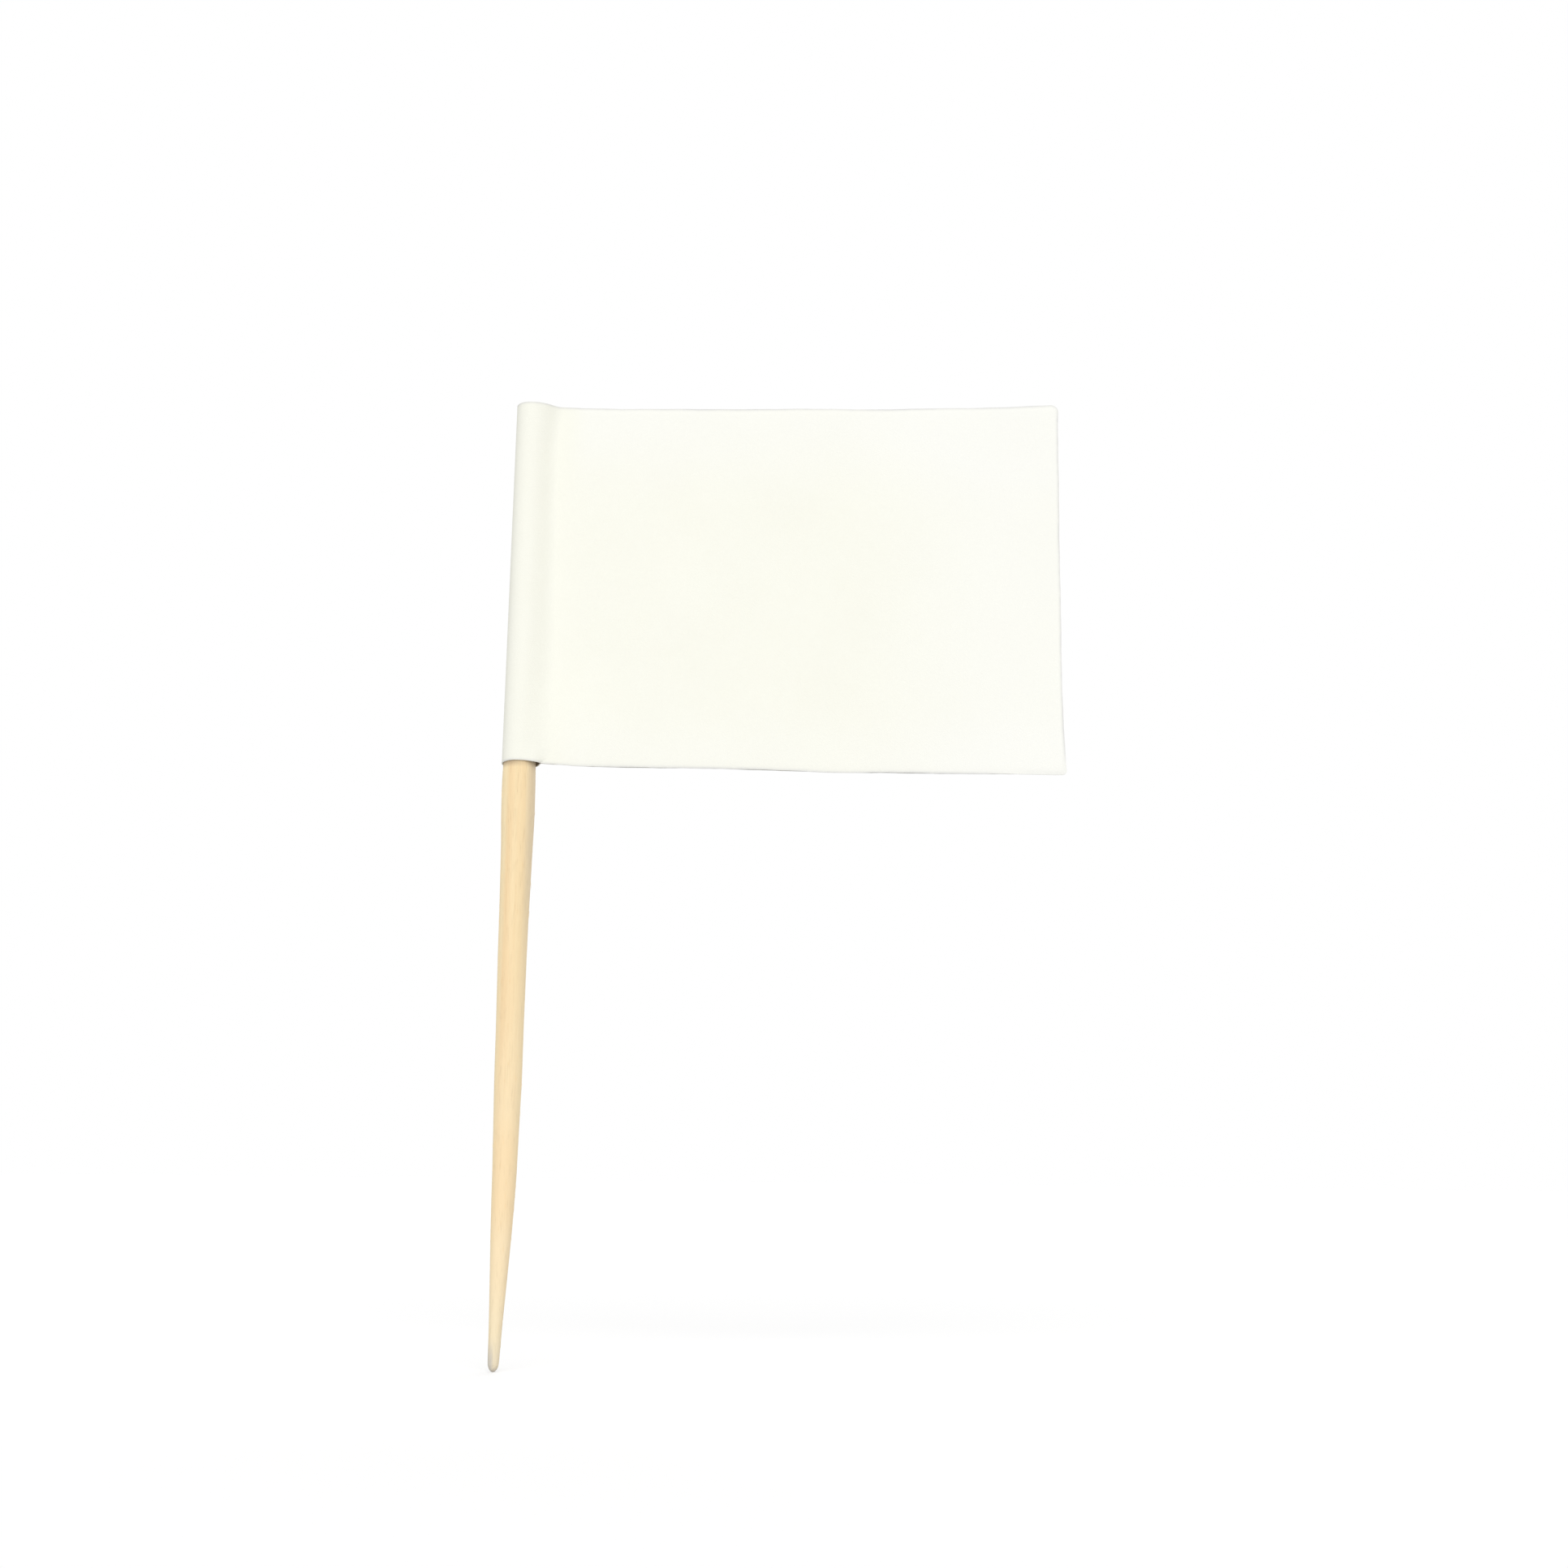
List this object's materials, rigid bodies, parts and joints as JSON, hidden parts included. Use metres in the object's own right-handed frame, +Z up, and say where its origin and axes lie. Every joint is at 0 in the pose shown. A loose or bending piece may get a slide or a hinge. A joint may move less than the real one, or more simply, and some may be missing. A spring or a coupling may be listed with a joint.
{
  "type": "flag toothpick",
  "caption": "Blank paper flag folded and glued round the top of a round, pointed wooden pick; the flag turns on the pick and its leaves flex at the fold. Pushed into food to mark it.",
  "frame": {"origin": "the blunt tip of the pick, on the pick's long axis", "axes": "+Z up along the pick from its tip to the flag, +X from the pick towards the free edge of the flag, +Y from the front of the flag to its back"},
  "size_m": [0.0379, 0.0024, 0.0652],
  "materials": {
    "pick_wood": "matte",
    "flag_paper": "matte",
    "dry_glue": "matte"
  },
  "bodies": {
    "pick": {"wooden_pick": "pick_wood"},
    "sleeve": {"paper_sleeve": "flag_paper"},
    "leaf": {"front_leaf": "flag_paper", "leaf_glue": "dry_glue", "back_leaf": "flag_paper"}
  },
  "joints": [
    {"name": "flag_swivel", "type": "hinge", "parent": "pick", "child": "sleeve", "pos_m": [0, 0, 0.0524], "axis": [0, 0, 1], "continuous": true},
    {"name": "flag_flex", "type": "hinge", "parent": "sleeve", "child": "leaf", "pos_m": [0.00192, 0, 0.0524], "axis": [0, 0, 1], "range_deg": [-45, 45], "stiffness_Nm_per_rad": 0.004}
  ]
}
